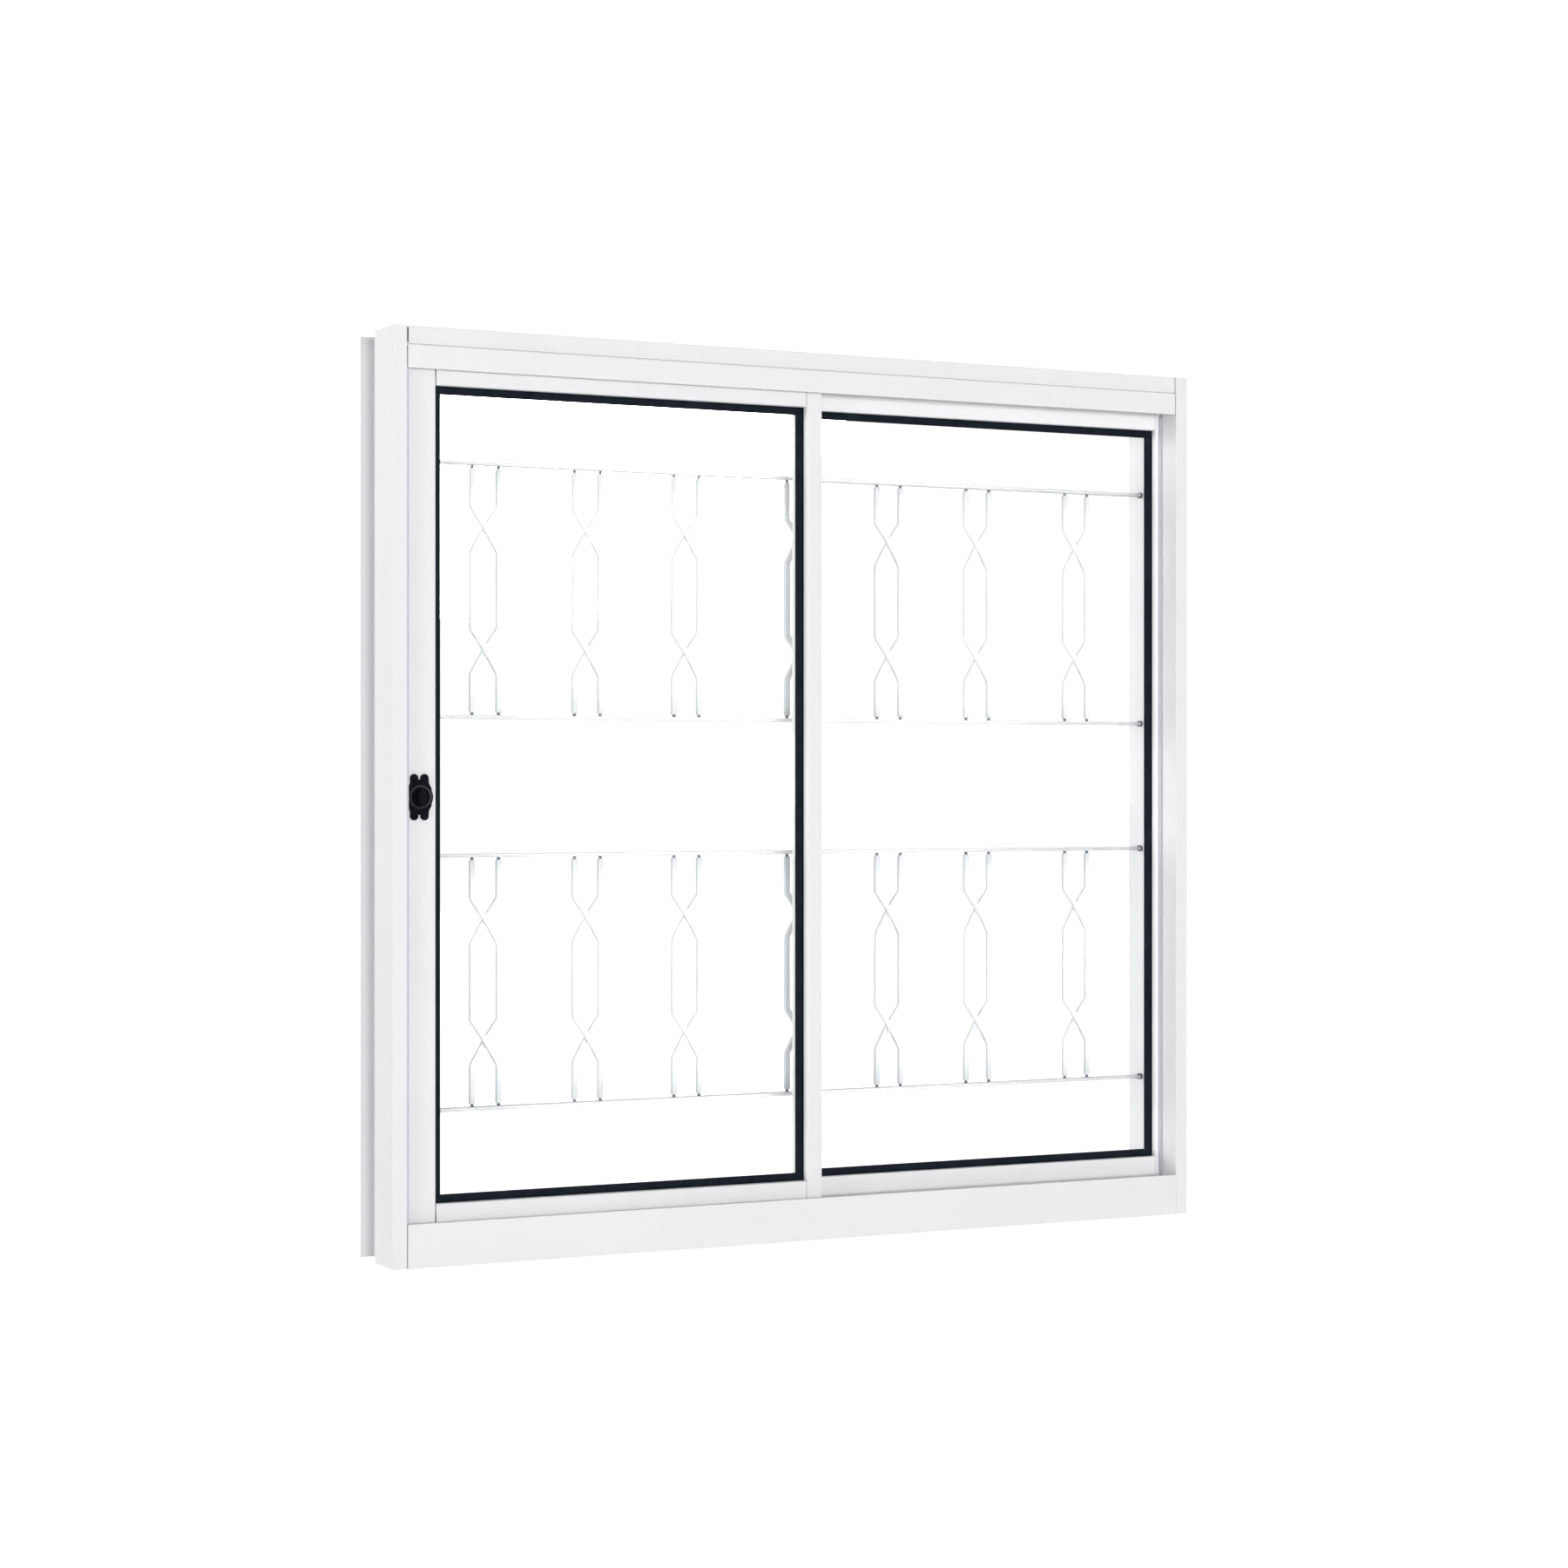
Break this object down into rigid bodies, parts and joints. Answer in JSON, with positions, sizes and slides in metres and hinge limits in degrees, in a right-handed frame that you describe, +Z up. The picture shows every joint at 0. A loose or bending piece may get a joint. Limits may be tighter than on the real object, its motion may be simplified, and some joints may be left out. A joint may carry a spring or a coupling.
{
  "type": "sliding window with security grille",
  "caption": "White aluminium sliding window with two glazed sashes on rollers, a turn latch, and a fixed grille of crossed bars in a second frame behind the glass.",
  "frame": {"origin": "middle of the underside of the sill, halfway between the room face and the street face", "axes": "+X to the right seen from the room, +Y out to the street, +Z up"},
  "size_m": [1, 0.108, 1],
  "materials": {
    "powder_coat": "satin",
    "grille_frame_coat": "satin",
    "grille_coat": "satin",
    "glass": "gloss",
    "gasket": "matte",
    "black_plastic": "satin",
    "black_steel": "satin",
    "zinc_steel": "satin",
    "nylon": "satin"
  },
  "bodies": {
    "root": {"grille_frame_head": "grille_frame_coat", "grille_frame_jamb_left": "grille_frame_coat", "grille_frame_jamb_right": "grille_frame_coat", "grille_frame_sill": "grille_frame_coat", "grille_pair_lower_1": "grille_coat", "grille_pair_lower_2": "grille_coat", "grille_pair_lower_3": "grille_coat", "grille_pair_lower_4": "grille_coat", "grille_pair_lower_5": "grille_coat", "grille_pair_lower_6": "grille_coat", "grille_pair_lower_7": "grille_coat", "grille_pair_upper_1": "grille_coat", "grille_pair_upper_2": "grille_coat", "grille_pair_upper_3": "grille_coat", "grille_pair_upper_4": "grille_coat", "grille_pair_upper_5": "grille_coat", "grille_pair_upper_6": "grille_coat", "grille_pair_upper_7": "grille_coat", "grille_rail_1": "grille_coat", "grille_rail_2": "grille_coat", "grille_rail_3": "grille_coat", "grille_rail_4": "grille_coat", "head_profile": "powder_coat", "jamb_left": "powder_coat", "jamb_right": "powder_coat", "latch_keeper": "zinc_steel", "sill_profile": "powder_coat"},
    "front_sash": {"front_sash_bottom_rail": "powder_coat", "front_sash_gasket": "gasket", "front_sash_glass": "glass", "front_sash_latch_stile": "powder_coat", "front_sash_meeting_stile": "powder_coat", "front_sash_roller_left_axle": "zinc_steel", "front_sash_roller_left_cage": "zinc_steel", "front_sash_roller_right_axle": "zinc_steel", "front_sash_roller_right_cage": "zinc_steel", "front_sash_top_rail": "powder_coat", "latch_plate": "black_plastic", "latch_screw_bottom": "black_steel", "latch_screw_top": "black_steel"},
    "rear_sash": {"rear_sash_bottom_rail": "powder_coat", "rear_sash_gasket": "gasket", "rear_sash_glass": "glass", "rear_sash_meeting_stile": "powder_coat", "rear_sash_outer_stile": "powder_coat", "rear_sash_roller_left_axle": "zinc_steel", "rear_sash_roller_left_cage": "zinc_steel", "rear_sash_roller_right_axle": "zinc_steel", "rear_sash_roller_right_cage": "zinc_steel", "rear_sash_top_rail": "powder_coat"},
    "front_sash_roller_left_wheel": {"front_sash_roller_left_wheel": "nylon"},
    "front_sash_roller_right_wheel": {"front_sash_roller_right_wheel": "nylon"},
    "rear_sash_roller_left_wheel": {"rear_sash_roller_left_wheel": "nylon"},
    "rear_sash_roller_right_wheel": {"rear_sash_roller_right_wheel": "nylon"},
    "latch_knob": {"latch_crank": "zinc_steel", "latch_knob": "black_plastic"},
    "latch_bolt": {"latch_bolt": "zinc_steel"}
  },
  "joints": [
    {"name": "front_sash_slide", "type": "slide", "parent": "root", "child": "front_sash", "axis": [1, 0, 0], "range_m": [0, 0.465]},
    {"name": "rear_sash_slide", "type": "slide", "parent": "root", "child": "rear_sash", "axis": [-1, 0, 0], "range_m": [0, 0.465]},
    {"name": "front_sash_roller_left_spin", "type": "hinge", "parent": "front_sash", "child": "front_sash_roller_left_wheel", "pos_m": [-0.3984, -0.03275, 0.0373], "axis": [0, 1, 0], "range_deg": [0, 3810]},
    {"name": "front_sash_roller_right_spin", "type": "hinge", "parent": "front_sash", "child": "front_sash_roller_right_wheel", "pos_m": [-0.0553, -0.03275, 0.0373], "axis": [0, 1, 0], "range_deg": [0, 3810]},
    {"name": "rear_sash_roller_left_spin", "type": "hinge", "parent": "rear_sash", "child": "rear_sash_roller_left_wheel", "pos_m": [0.0663, -0.00875, 0.0373], "axis": [0, -1, 0], "range_deg": [0, 3810]},
    {"name": "rear_sash_roller_right_spin", "type": "hinge", "parent": "rear_sash", "child": "rear_sash_roller_right_wheel", "pos_m": [0.427, -0.00875, 0.0373], "axis": [0, -1, 0], "range_deg": [0, 3810]},
    {"name": "latch_knob_turn", "type": "hinge", "parent": "front_sash", "child": "latch_knob", "pos_m": [-0.4675, -0.046, 0.5], "axis": [0, -1, 0], "range_deg": [0, 90]},
    {"name": "latch_bolt_slide", "type": "slide", "parent": "front_sash", "child": "latch_bolt", "axis": [-1, 0, 0], "range_m": [0, 0.0071]}
  ],
  "couplings": [
    {"joint": "front_sash_roller_left_spin", "follows": "front_sash_slide", "rad_per_m": 142.86},
    {"joint": "front_sash_roller_right_spin", "follows": "front_sash_slide", "rad_per_m": 142.86},
    {"joint": "rear_sash_roller_left_spin", "follows": "rear_sash_slide", "rad_per_m": 142.86},
    {"joint": "rear_sash_roller_right_spin", "follows": "rear_sash_slide", "rad_per_m": 142.86},
    {"joint": "latch_bolt_slide", "follows": "latch_knob_turn", "m_per_rad": 0.0045}
  ]
}
